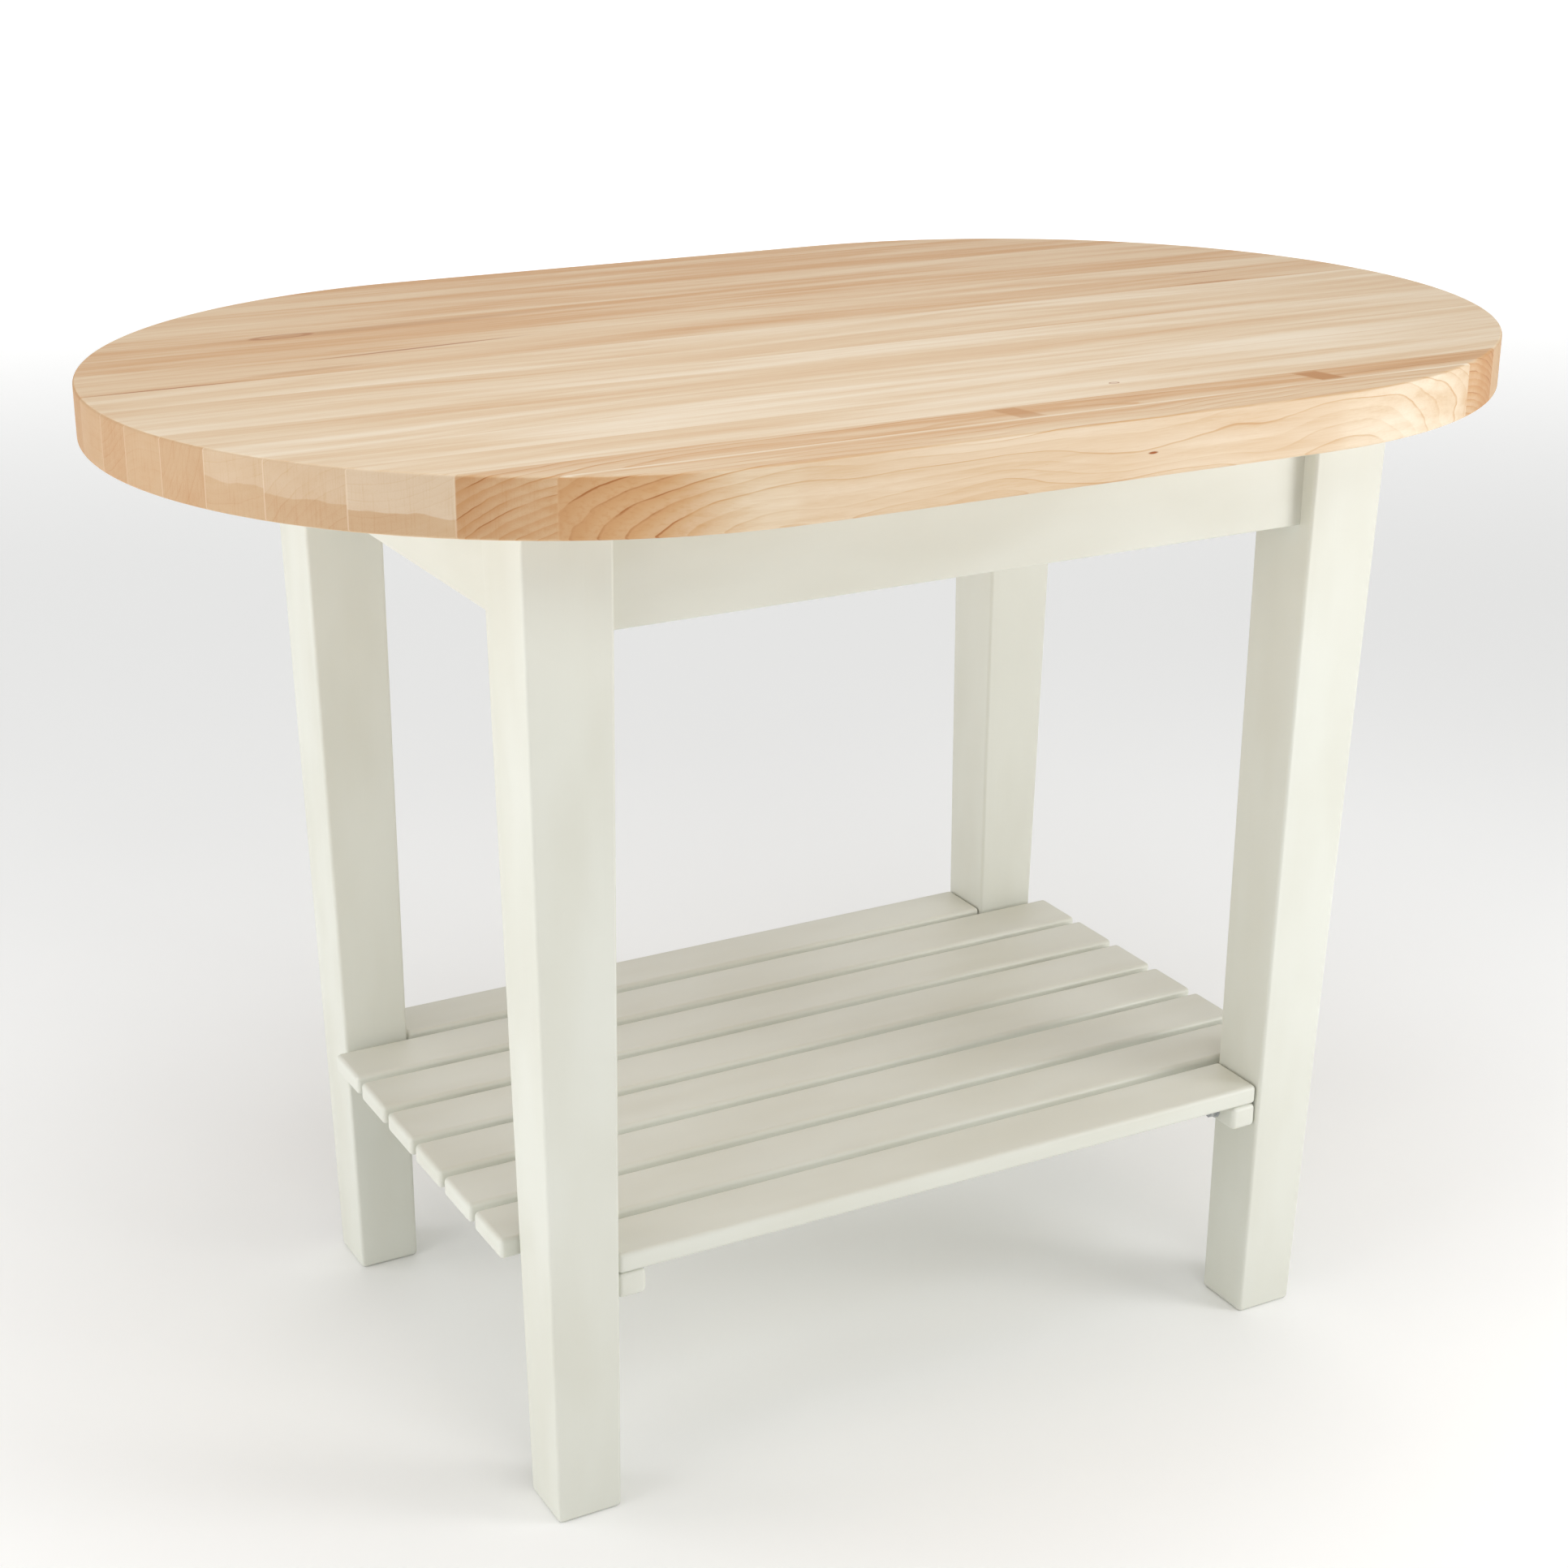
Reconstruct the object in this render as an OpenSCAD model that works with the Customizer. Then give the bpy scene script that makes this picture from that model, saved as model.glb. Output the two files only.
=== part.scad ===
// Butcher block table: an oval-ended edge-grain top on a tapered-leg base with a slatted shelf.
// The origin is on the floor under the middle of the top, +X runs along the top's length,
// -Y is the front and +Z is up.

/* [Top] */
// Length of the top, end to end
top_l = 1219; // [1000:1:1500]
// Width of the top, front to back
top_w = 785; // [680:1:900]
// Thickness of the top
top_t = 44.5; // [30:0.5:60]
// Chamfer that eases the edge round the top
top_ease = 2; // [0.5:0.5:5]

/* [Legs] */
// Height of the legs, from the floor to the underside of the top
leg_h = 847.5; // [650:0.5:900]
// Width of a leg at the top
leg_top_w = 73; // [65:0.5:85]
// Width of a leg at the foot
foot_w = 55.5; // [45:0.5:60]
// Length over the outer faces of the legs, at the top
base_l = 776; // [650:1:900]
// Width over the outer faces of the legs, at the top
base_w = 542; // [500:1:600]
// Chamfer round the bottom of a foot
foot_chamfer = 2.5; // [1:0.5:5]

/* [Aprons] */
// Height of the aprons
apron_h = 100; // [90:1:140]
// Thickness of the aprons
apron_t = 20; // [17:1:24]
// Setback of the aprons from the outer faces of the legs
apron_setback = 16; // [8:1:22]
// Radius of the eased lower edges of the aprons
apron_ease = 1.5; // [0.5:0.5:3]

/* [Shelf] */
// Height of the upper face of the shelf
shelf_z = 234; // [150:1:400]
// Number of slats
slat_count = 8; // [6:1:8]
// Thickness of a slat
slat_t = 18; // [15:1:25]
// Gap between slats
slat_gap = 9.5; // [6:0.5:14]
// Radius of the rounded edges of a slat
slat_round = 4; // [1:0.5:5]
// Width of a cleat
cleat_w = 25; // [22:1:35]
// Height of a cleat
cleat_h = 22; // [20:1:35]
// Radius of the rounded lower edges of a cleat
cleat_round = 2.5; // [1:0.5:4]

/* [Corner blocks] */
// Thickness of a corner block
block_t = 25; // [22:1:30]
// Height of a corner block
block_h = 64; // [58:1:72]
// Height between the two hanger bolts of a corner
bolt_pitch = 32; // [24:1:36]

/* [Hidden] */
// Small rounds have small_fn sides and the wide ends of the top have wide_fn
small_fn = 48;
wide_fn = 360;
$fn = small_fn;

MAPLE = [0.88, 0.76, 0.58];
PAINT = [0.91, 0.90, 0.86];
POPLAR = [0.80, 0.72, 0.55];
STEEL = [0.70, 0.71, 0.73];

// Each corner is its side in X and its side in Y
CORNERS = [[-1, -1], [1, -1], [-1, 1], [1, 1]];
CORNER_NAMES = ["front_left", "front_right", "back_left", "back_right"];

// Staves of the top: widths from the front edge to the back, scaled to the width of the top
STAVE_WIDTHS = [42, 36, 52, 53, 49, 46, 48, 44, 58, 51, 46, 42, 38, 50, 46, 44, 40];
stave_count = len(STAVE_WIDTHS);
function sum_of(v, n) = n == 0 ? 0 : v[n - 1] + sum_of(v, n - 1);
function stave_front(i) = top_w * (sum_of(STAVE_WIDTHS, i) / sum_of(STAVE_WIDTHS, stave_count) - 0.5);
function two_digits(n) = n < 10 ? str("0", n) : str(n);

// Faces of the base, measured from the middle of the table
leg_out_x = base_l / 2;
leg_in_x = leg_out_x - leg_top_w;
leg_in_y = base_w / 2 - leg_top_w;
leg_taper = leg_top_w - foot_w;
apron_out_x = leg_out_x - apron_setback;
apron_out_y = base_w / 2 - apron_setback;
apron_in_x = apron_out_x - apron_t;
apron_in_y = apron_out_y - apron_t;

// Shelf: a slat that would meet the legs is a short one between them
slat_w = (2 * apron_out_y - (slat_count - 1) * slat_gap) / slat_count;
slat_z = shelf_z - slat_t;
slat_end_gap = 0.5;
cleat_x = leg_in_x - cleat_w / 2;
cleat_z = slat_z - cleat_h;
function slat_y(i) = (slat_w + slat_gap) * (i - (slat_count - 1) / 2);
function slat_is_short(i) = abs(slat_y(i)) + slat_w / 2 > leg_in_y;

// Corner blocks stand clear of the inner edge of the leg
block_clear = 4;
block_z = leg_h - 12 - block_h;
block_mid = (block_clear + block_t / 2) * sqrt(2);
block_end_x = leg_in_x - (apron_in_y - leg_in_y) - block_mid;
block_end_y = leg_in_y - (apron_in_x - leg_in_x) - block_mid;

// Hanger bolts, with washers and nuts
bolt_d = 8;
bolt_hole_d = 9;
bolt_z = block_z + block_h / 2;
bolt_in_leg = 45;
bolt_tail = 5.5;
bolt_chamfer = 1;
washer_d = 22;
washer_t = 2;
nut_af = 13;
nut_t = 6.5;

// Wood screws
screw_d = 4;
screw_hole_d = 4.5;
screw_head_d = 8;
screw_head_t = 3;
counterbore_d = 8.5;
block_screw_grip = 8;
block_screw_l = 21;
block_screw_pitch = 36;

// Screws up through the cleats into the slats, clear of the cleat bolts
slat_screw_recess = 4;
slat_screw_l = cleat_h + 8;
short_slat_screw_shift = 0.28 * slat_w;
function slat_screw_y(i) = slat_y(i) + (slat_is_short(i) ? sign(slat_y(i)) * short_slat_screw_shift : 0);

// Bolts through the cleats into the legs
cleat_bolt_y = leg_in_y + 30;
cleat_bolt_z = cleat_z + cleat_h / 2;
cleat_bolt_in_leg = 35;
cleat_washer_d = 16;
cleat_washer_t = 1.6;
cleat_head_t = 5.5;

// Angle brackets that hold the top
bracket_w = 30;
bracket_leg = 30;
bracket_t = 2;
bracket_mid = (bracket_leg + bracket_t) / 2;
bracket_screw_l = 16;
bracket_x = 150;
bracket_y = 60;

STAVES = [for (i = [1 : stave_count]) str("top_stave_", two_digits(i))];
LEGS = [for (name = CORNER_NAMES) str("leg_", name)];
APRONS = ["apron_front", "apron_back", "apron_left", "apron_right"];
BLOCKS = [for (name = CORNER_NAMES) str("corner_block_", name)];
SLATS = [for (i = [1 : slat_count]) str("shelf_slat_", i)];
CLEATS = ["shelf_cleat_left", "shelf_cleat_right"];
LEG_FASTENERS = ["leg_hanger_bolts", "leg_bolt_washers", "leg_bolt_nuts", "corner_block_screws"];
TOP_FASTENERS = ["top_brackets", "top_bracket_screws"];
SHELF_FASTENERS = ["slat_screws", "cleat_bolts", "cleat_bolt_washers"];

// A rectangle with rounded corners, centred on the origin
module rounded_rect(w, h, r) {
    square([w - 2 * r, h], center = true);
    square([w, h - 2 * r], center = true);
    for (x = [-1, 1])
        for (y = [-1, 1])
            translate([x * (w / 2 - r), y * (h / 2 - r)])
                circle(r);
}

// The section of a board with its two lower edges rounded, standing on y = 0
module board_section(w, h, r) {
    translate([0, h / 2])
        rounded_rect(w, h, r);
    translate([-w / 2, r])
        square([w, h - r]);
}

// Extrudes a section drawn in Y and Z along X, both ways from the middle
module along_x(l) {
    translate([-l / 2, 0, 0])
        rotate([90, 0, 90])
            linear_extrude(l)
                children();
}

// Extrudes a section drawn in X and Z along Y, both ways from the middle
module along_y(l) {
    translate([0, l / 2, 0])
        rotate([90, 0, 0])
            linear_extrude(l)
                children();
}

module washer(d, hole_d, t) {
    difference() {
        cylinder(d = d, h = t);
        translate([0, 0, -1])
            cylinder(d = hole_d, h = t + 2);
    }
}

module hexagon(af, t) {
    cylinder(d = af / cos(30), h = t, $fn = 6);
}

// A shank along +Z with a chamfered end
module bolt_shank(l) {
    cylinder(d = bolt_d, h = l - bolt_chamfer);
    translate([0, 0, l - bolt_chamfer])
        cylinder(d1 = bolt_d, d2 = bolt_d - 2 * bolt_chamfer, h = bolt_chamfer);
}

// A wood screw along +Z from the seat of its head
module screw(l) {
    translate([0, 0, -screw_head_t]) {
        cylinder(d = screw_head_d, h = screw_head_t);
        cylinder(d = screw_d, h = screw_head_t + l);
    }
}

// Moves a thing made at the front right corner to another corner
module at_corner(corner) {
    mirror([corner[0] < 0 ? 1 : 0, 0, 0])
        mirror([0, corner[1] > 0 ? 1 : 0, 0])
            children();
}

module at_corners() {
    for (corner = CORNERS)
        at_corner(corner)
            children();
}

// On the inner edge of the front right leg, with +X towards the middle of the table
module across_corner(z) {
    translate([leg_in_x, -leg_in_y, z])
        rotate([0, 0, 135])
            children();
}

// Hanger bolts of the front right corner, with +Z out of the leg
module at_hanger_bolts() {
    for (side = [-1, 1])
        across_corner(bolt_z + side * bolt_pitch / 2)
            rotate([0, 90, 0])
                children();
}

// Head seats of the screws of the front right corner block, with +Z into the aprons
module at_block_screws() {
    for (side = [-1, 1])
        translate([0, 0, bolt_z + side * block_screw_pitch / 2]) {
            translate([block_end_x, -apron_in_y + block_screw_grip, 0])
                rotate([90, 0, 0])
                    children();
            translate([apron_in_x - block_screw_grip, -block_end_y, 0])
                rotate([0, 90, 0])
                    children();
        }
}

// Inner faces of the aprons under the top, with +X towards the middle of the table
module at_brackets() {
    for (side = [-1, 1])
        for (shift = [-1, 1]) {
            translate([shift * bracket_x, side * apron_in_y, leg_h])
                rotate([0, 0, -side * 90])
                    children();
            translate([side * apron_in_x, shift * bracket_y, leg_h])
                rotate([0, 0, side > 0 ? 180 : 0])
                    children();
        }
}

// Head seats of the screws of a bracket, with +Z into the wood
module at_bracket_screws() {
    translate([bracket_mid, 0, -bracket_t])
        children();
    translate([bracket_t, 0, -bracket_mid])
        rotate([0, -90, 0])
            children();
}

// Head seats of the screws of a slat, with +Z up
module at_slat_screws(i) {
    for (side = [-1, 1])
        translate([side * cleat_x, slat_screw_y(i), cleat_z + slat_screw_recess])
            children();
}

// Inner face of the right cleat at the front, with +Z towards the leg
module at_cleat_bolt() {
    translate([leg_in_x - cleat_w, -cleat_bolt_y, cleat_bolt_z])
        rotate([0, 90, 0])
            children();
}

// Half the section of the top, on one side of the axis
module top_half_section(half_w) {
    polygon([
        [0, 0],
        [half_w - top_ease, 0],
        [half_w, top_ease],
        [half_w, top_t - top_ease],
        [half_w - top_ease, top_t],
        [0, top_t]
    ]);
}

// The whole top: a bar with a round disc at each end, eased all round
module top_body() {
    translate([0, 0, leg_h]) {
        along_x(top_l - top_w) {
            top_half_section(top_w / 2);
            mirror([1, 0])
                top_half_section(top_w / 2);
        }
        for (side = [-1, 1])
            translate([side * (top_l - top_w) / 2, 0, 0])
                rotate_extrude($fn = wide_fn)
                    top_half_section(top_w / 2);
    }
}

module top_stave(i) {
    color(MAPLE)
        difference() {
            intersection() {
                top_body();
                translate([-top_l, stave_front(i), leg_h - 1])
                    cube([2 * top_l, stave_front(i + 1) - stave_front(i), top_t + 2]);
            }
            at_brackets()
                at_bracket_screws()
                    cylinder(d = screw_d, h = bracket_screw_l);
        }
}

// A leg seen from one side: upright on the inner face, tapered on the outer one
module leg_side() {
    polygon([
        [foot_chamfer, 0],
        [foot_w - foot_chamfer, 0],
        [foot_w + leg_taper * foot_chamfer / leg_h, foot_chamfer],
        [leg_top_w, leg_h],
        [0, leg_h],
        [0, foot_chamfer]
    ]);
}

module leg(corner) {
    color(PAINT)
        at_corner(corner)
            difference() {
                translate([leg_in_x, -leg_in_y, 0])
                    intersection() {
                        rotate([90, 0, 0])
                            linear_extrude(leg_top_w)
                                leg_side();
                        rotate([90, 0, 90])
                            linear_extrude(leg_top_w)
                                mirror([1, 0])
                                    leg_side();
                    }
                at_hanger_bolts()
                    translate([0, 0, -bolt_in_leg])
                        cylinder(d = bolt_d, h = bolt_in_leg + 1);
                at_cleat_bolt()
                    cylinder(d = bolt_d, h = cleat_w + cleat_bolt_in_leg);
            }
}

// Aprons end on the inner faces of the legs
module apron(name) {
    side = name == "back" || name == "right" ? 1 : -1;
    color(PAINT)
        difference() {
            if (name == "front" || name == "back")
                translate([0, side * (apron_out_y - apron_t / 2), leg_h - apron_h])
                    along_x(2 * leg_in_x)
                        board_section(apron_t, apron_h, apron_ease);
            else
                translate([side * (apron_out_x - apron_t / 2), 0, leg_h - apron_h])
                    along_y(2 * leg_in_y)
                        board_section(apron_t, apron_h, apron_ease);
            at_corners()
                at_block_screws()
                    cylinder(d = screw_d, h = block_screw_l);
            at_brackets()
                at_bracket_screws()
                    cylinder(d = screw_d, h = bracket_screw_l);
        }
}

module corner_block(corner) {
    color(POPLAR)
        at_corner(corner)
            difference() {
                intersection() {
                    across_corner(block_z)
                        translate([block_clear, -leg_in_x, 0])
                            cube([block_t, 2 * leg_in_x, block_h]);
                    translate([0, -apron_in_y, block_z])
                        cube([apron_in_x, apron_in_y, block_h]);
                }
                at_hanger_bolts()
                    cylinder(d = bolt_hole_d, h = 2 * block_t);
                at_block_screws() {
                    cylinder(d = screw_hole_d, h = block_screw_l);
                    translate([0, 0, -block_t])
                        cylinder(d = counterbore_d, h = block_t);
                }
            }
}

module shelf_slat(i) {
    color(PAINT)
        difference() {
            translate([0, slat_y(i), slat_z + slat_t / 2])
                along_x(2 * (slat_is_short(i) ? leg_in_x - slat_end_gap : leg_out_x))
                    rounded_rect(slat_w, slat_t, slat_round);
            at_slat_screws(i)
                cylinder(d = screw_d, h = slat_screw_l);
        }
}

module shelf_cleat(side) {
    color(PAINT)
        difference() {
            translate([side * cleat_x, 0, cleat_z])
                along_y(2 * apron_out_y)
                    board_section(cleat_w, cleat_h, cleat_round);
            for (i = [0 : slat_count - 1])
                at_slat_screws(i) {
                    cylinder(d = screw_hole_d, h = cleat_h);
                    translate([0, 0, -cleat_h])
                        cylinder(d = counterbore_d, h = cleat_h);
                }
            at_corners()
                at_cleat_bolt()
                    translate([0, 0, -1])
                        cylinder(d = bolt_hole_d, h = cleat_w + 2);
        }
}

module leg_hanger_bolts() {
    color(STEEL)
        at_corners()
            at_hanger_bolts()
                translate([0, 0, -bolt_in_leg])
                    bolt_shank(bolt_in_leg + block_clear + block_t + washer_t + nut_t + bolt_tail);
}

module leg_bolt_washers() {
    color(STEEL)
        at_corners()
            at_hanger_bolts()
                translate([0, 0, block_clear + block_t])
                    washer(washer_d, bolt_hole_d, washer_t);
}

module leg_bolt_nuts() {
    color(STEEL)
        at_corners()
            at_hanger_bolts()
                translate([0, 0, block_clear + block_t + washer_t])
                    difference() {
                        hexagon(nut_af, nut_t);
                        translate([0, 0, -1])
                            cylinder(d = bolt_d, h = nut_t + 2);
                    }
}

module corner_block_screws() {
    color(STEEL)
        at_corners()
            at_block_screws()
                screw(block_screw_l);
}

module top_brackets() {
    color(STEEL)
        at_brackets()
            difference() {
                union() {
                    translate([0, -bracket_w / 2, -bracket_t])
                        cube([bracket_leg, bracket_w, bracket_t]);
                    translate([0, -bracket_w / 2, -bracket_leg])
                        cube([bracket_t, bracket_w, bracket_leg]);
                }
                at_bracket_screws()
                    translate([0, 0, -1])
                        cylinder(d = screw_hole_d, h = bracket_t + 2);
            }
}

module top_bracket_screws() {
    color(STEEL)
        at_brackets()
            at_bracket_screws()
                screw(bracket_screw_l);
}

module slat_screws() {
    color(STEEL)
        for (i = [0 : slat_count - 1])
            at_slat_screws(i)
                screw(slat_screw_l);
}

module cleat_bolts() {
    color(STEEL)
        at_corners()
            at_cleat_bolt()
                translate([0, 0, -cleat_washer_t]) {
                    bolt_shank(cleat_washer_t + cleat_w + cleat_bolt_in_leg);
                    translate([0, 0, -cleat_head_t])
                        hexagon(nut_af, cleat_head_t);
                }
}

module cleat_bolt_washers() {
    color(STEEL)
        at_corners()
            at_cleat_bolt()
                translate([0, 0, -cleat_washer_t])
                    washer(cleat_washer_d, bolt_hole_d, cleat_washer_t);
}

for (i = [0 : stave_count - 1])
    top_stave(i);
for (k = [0 : len(CORNERS) - 1]) {
    leg(CORNERS[k]);
    corner_block(CORNERS[k]);
}
apron("front");  // apron_front
apron("back");  // apron_back
apron("left");  // apron_left
apron("right");  // apron_right
for (i = [0 : slat_count - 1])
    shelf_slat(i);
shelf_cleat(-1);  // shelf_cleat_left
shelf_cleat(1);  // shelf_cleat_right
leg_hanger_bolts();
leg_bolt_washers();
leg_bolt_nuts();
corner_block_screws();
top_brackets();
top_bracket_screws();
slat_screws();
cleat_bolts();
cleat_bolt_washers();
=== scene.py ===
"""Looks of the butcher block table: maple top, cream-painted base, steel fasteners.

Lengths are in metres, and those that carry _MM in their names, or that go into a material,
are in millimetres.
"""

import math

import bmesh
import bpy
from mathutils import Euler, Matrix, Vector


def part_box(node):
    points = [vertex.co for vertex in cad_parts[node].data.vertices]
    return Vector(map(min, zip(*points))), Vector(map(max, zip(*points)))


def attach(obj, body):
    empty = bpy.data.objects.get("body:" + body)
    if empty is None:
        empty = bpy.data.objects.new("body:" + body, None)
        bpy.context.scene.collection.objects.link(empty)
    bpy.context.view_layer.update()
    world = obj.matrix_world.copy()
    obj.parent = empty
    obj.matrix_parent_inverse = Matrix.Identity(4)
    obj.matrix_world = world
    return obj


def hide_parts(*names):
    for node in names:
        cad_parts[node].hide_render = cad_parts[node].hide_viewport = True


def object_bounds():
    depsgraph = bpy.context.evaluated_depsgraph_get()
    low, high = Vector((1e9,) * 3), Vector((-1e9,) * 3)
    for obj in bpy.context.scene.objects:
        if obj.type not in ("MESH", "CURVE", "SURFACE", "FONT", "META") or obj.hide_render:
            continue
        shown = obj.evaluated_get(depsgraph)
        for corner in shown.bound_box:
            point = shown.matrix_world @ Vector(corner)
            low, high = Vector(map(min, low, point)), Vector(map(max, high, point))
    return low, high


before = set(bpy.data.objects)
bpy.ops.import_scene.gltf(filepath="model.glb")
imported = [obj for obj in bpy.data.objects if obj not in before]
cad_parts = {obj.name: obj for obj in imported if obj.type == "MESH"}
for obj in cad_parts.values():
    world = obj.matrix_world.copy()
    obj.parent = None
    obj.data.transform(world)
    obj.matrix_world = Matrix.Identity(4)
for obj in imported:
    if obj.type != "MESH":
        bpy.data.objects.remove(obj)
cad_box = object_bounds()
scene = bpy.context.scene

MM = 0.001
BODY = "root"
CORNERS = {"front_left": (-1, -1), "front_right": (1, -1), "back_left": (-1, 1), "back_right": (1, 1)}

# Camera
CAMERA_PLACE = (-1.0952, -1.9262, 1.3179)
LOOKS_RIGHT_DEG = 27.81
LOOKS_DOWN_DEG = 20.44
ROLL_DEG = -0.06
LENS_MM = 61.42
LENS_SHIFT = (0.0334, -0.0007)

# Rounded edges
TOP_EDGE_R = 2.4 * MM
TOP_EDGE_STEPS = 5
TOP_ARC_STEP_DEG = 1.5
LEG_EDGE_R = 3.2 * MM
FOOT_EDGE_R = 4 * MM
FOOT_EDGE_STEPS = 4
APRON_EDGE_R = 1.5 * MM
SLAT_EDGE_R = 4.2 * MM
CLEAT_EDGE_R = 4.5 * MM

# Points nearer than this are one point
WELD = 0.01 * MM

# Bolts, nuts and washers, as in the CAD model. AF is across the flats.
NUT_AF = 13 * MM
NUT_T = 6.5 * MM
NUT_CHAMFER_DEG = 30
NUT_CHAMFER_STEPS = 5
BOLT_D = 8 * MM
BOLT_HEAD_T = 5.5 * MM
BOLT_TIP = 0.4 * MM
WASHER_HOLE_D = 9 * MM
WASHER_EASE = 0.25 * MM
THREAD_PITCH = 1.25 * MM
THREAD_DEPTH = 0.65 * MM
THREAD_STEPS = 6
HEX_SEGMENTS = 96
THREAD_SEGMENTS = 24

# Wood screws, their counterbores and the brackets
SCREW_D = 4 * MM
SCREW_HEAD_D = 8 * MM
SCREW_HEAD_T = 3 * MM
SCREW_THREAD_PITCH = 1.8 * MM
SCREW_THREAD_DEPTH = 0.55 * MM
SCREW_POINT = 3 * MM
COUNTERBORE_D = 8.5 * MM
COUNTERBORE_DEPTH = 4 * MM
BRACKET_T = 2 * MM
BRACKET_BEND_R = 3 * MM
BRACKET_BEND_STEPS = 5


# ------------------------------------------------------------------ meshes


def loft(rings, closed=False):
    """A mesh through rings that have the same number of points, with a face at each end or
    with the last ring joined to the first."""
    mesh = bmesh.new()
    made = [[mesh.verts.new(point) for point in ring] for ring in rings]
    pairs = list(zip(made, made[1:]))
    if closed:
        pairs.append((made[-1], made[0]))
    else:
        mesh.faces.new(reversed(made[0]))
        mesh.faces.new(made[-1])
    for low, high in pairs:
        for i in range(len(low)):
            j = (i + 1) % len(low)
            mesh.faces.new((low[i], low[j], high[j], high[i]))
    bmesh.ops.recalc_face_normals(mesh, faces=mesh.faces)
    return mesh


def spun(levels, segments=48, closed=False):
    """A mesh round the Z axis. Each level is a height and a radius, or a rule that gives the
    radius from the angle."""
    angles = [2 * math.pi * i / segments for i in range(segments)]
    rings = []
    for z, radius in levels:
        radii = [radius(a) if callable(radius) else radius for a in angles]
        rings.append([(r * math.cos(a), r * math.sin(a), z) for r, a in zip(radii, angles)])
    return loft(rings, closed)


def rounded_rectangle(low, high, radius, steps=4):
    """Points round a rectangle with round corners."""
    points = []
    for corner, (sx, sy) in enumerate(((1, 1), (-1, 1), (-1, -1), (1, -1))):
        cx = (high[0] if sx > 0 else low[0]) - sx * radius
        cy = (high[1] if sy > 0 else low[1]) - sy * radius
        for step in range(steps + 1):
            angle = math.pi / 2 * (corner + step / steps)
            points.append((cx + radius * math.cos(angle), cy + radius * math.sin(angle)))
    return points


def rounded_box(low, high, radius, steps=4):
    """A box with all its edges rounded."""
    mesh = bmesh.new()
    middle = (Vector(low) + Vector(high)) / 2
    size = Vector(high) - Vector(low)
    bmesh.ops.create_cube(mesh, size=1, matrix=Matrix.Translation(middle) @ Matrix.Diagonal((*size, 1)))
    bmesh.ops.bevel(mesh, geom=mesh.edges[:], offset=radius, segments=steps, profile=0.5, affect="EDGES")
    return mesh


def eased(radius, steps):
    """Pairs of height and inset for a quarter round, from the flat face out to the side."""
    turns = [math.pi / 2 * step / steps for step in range(steps + 1)]
    return [(radius * (1 - math.cos(t)), radius * (1 - math.sin(t))) for t in turns]


def add_piece(name, mesh, material, nodes, sharp_deg=35):
    """Makes a shown piece that rides on the table and stands for its CAD nodes."""
    data = bpy.data.meshes.new(name)
    mesh.to_mesh(data)
    mesh.free()
    data.shade_smooth()
    data.set_sharp_from_angle(angle=math.radians(sharp_deg))
    data.materials.append(material)
    piece = bpy.data.objects.new(name, data)
    scene.collection.objects.link(piece)
    weighted = piece.modifiers.new("flat faces stay flat", "WEIGHTED_NORMAL")
    weighted.keep_sharp = True
    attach(piece, BODY)
    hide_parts(*nodes)
    return piece


def cut(mesh, tools):
    """Takes the tools, other meshes, out of a mesh."""
    blank = bpy.data.objects.new("blank", bpy.data.meshes.new("blank"))
    tool = bpy.data.objects.new("tool", bpy.data.meshes.new("tool"))
    mesh.to_mesh(blank.data)
    tools.to_mesh(tool.data)
    for item in (blank, tool):
        scene.collection.objects.link(item)
    boolean = blank.modifiers.new("cut", "BOOLEAN")
    boolean.operation = "DIFFERENCE"
    boolean.solver = "EXACT"
    boolean.object = tool
    graph = bpy.context.evaluated_depsgraph_get()
    result = blank.evaluated_get(graph).to_mesh()
    mesh.clear()
    mesh.from_mesh(result)
    tools.free()
    for item in (blank, tool):
        data = item.data
        bpy.data.objects.remove(item)
        bpy.data.meshes.remove(data)
    return mesh


def add_copy(group, mesh, matrix):
    """Adds a copy of a mesh, moved by a matrix, to a group of them."""
    data = bpy.data.meshes.new("copy")
    mesh.to_mesh(data)
    data.transform(matrix)
    group.from_mesh(data)
    bpy.data.meshes.remove(data)


def facing(point, direction):
    """A matrix that takes the origin to a point and +Z to a direction."""
    return Matrix.Translation(point) @ direction.to_track_quat("Z", "Y").to_matrix().to_4x4()


def solids(node):
    """The lowest and highest corners of each separate solid of a CAD node."""
    mesh = bmesh.new()
    mesh.from_mesh(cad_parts[node].data)
    bmesh.ops.remove_doubles(mesh, verts=mesh.verts, dist=WELD)
    found = []
    left = set(mesh.verts)
    while left:
        island = {left.pop()}
        edge_of_island = list(island)
        while edge_of_island:
            near = {e.other_vert(v) for v in edge_of_island for e in v.link_edges} & left
            left -= near
            island |= near
            edge_of_island = list(near)
        low = Vector(min(v.co[k] for v in island) for k in range(3))
        high = Vector(max(v.co[k] for v in island) for k in range(3))
        found.append((low, high))
    mesh.free()
    return sorted(found, key=lambda pair: tuple(round(c, 5) for c in pair[0]))


def straight_fasteners(node):
    """The outer end of the head, the direction into the wood and the whole length of each
    screw or bolt of a node. They go up, or outwards."""
    found = []
    for low, high in solids(node):
        size = high - low
        axis = max(range(3), key=lambda k: size[k])
        middle = (low + high) / 2
        way = 1 if axis == 2 or middle[axis] > 0 else -1
        direction = Vector((0, 0, 0))
        direction[axis] = way
        head = middle.copy()
        head[axis] = low[axis] if way > 0 else high[axis]
        found.append((head, direction, size[axis]))
    return found


# --------------------------------------------------------------- materials


def srgb(red, green, blue):
    """The linear colour of an 8-bit screen colour."""
    return (*(((c / 255 + 0.055) / 1.055) ** 2.4 for c in (red, green, blue)), 1)


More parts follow.
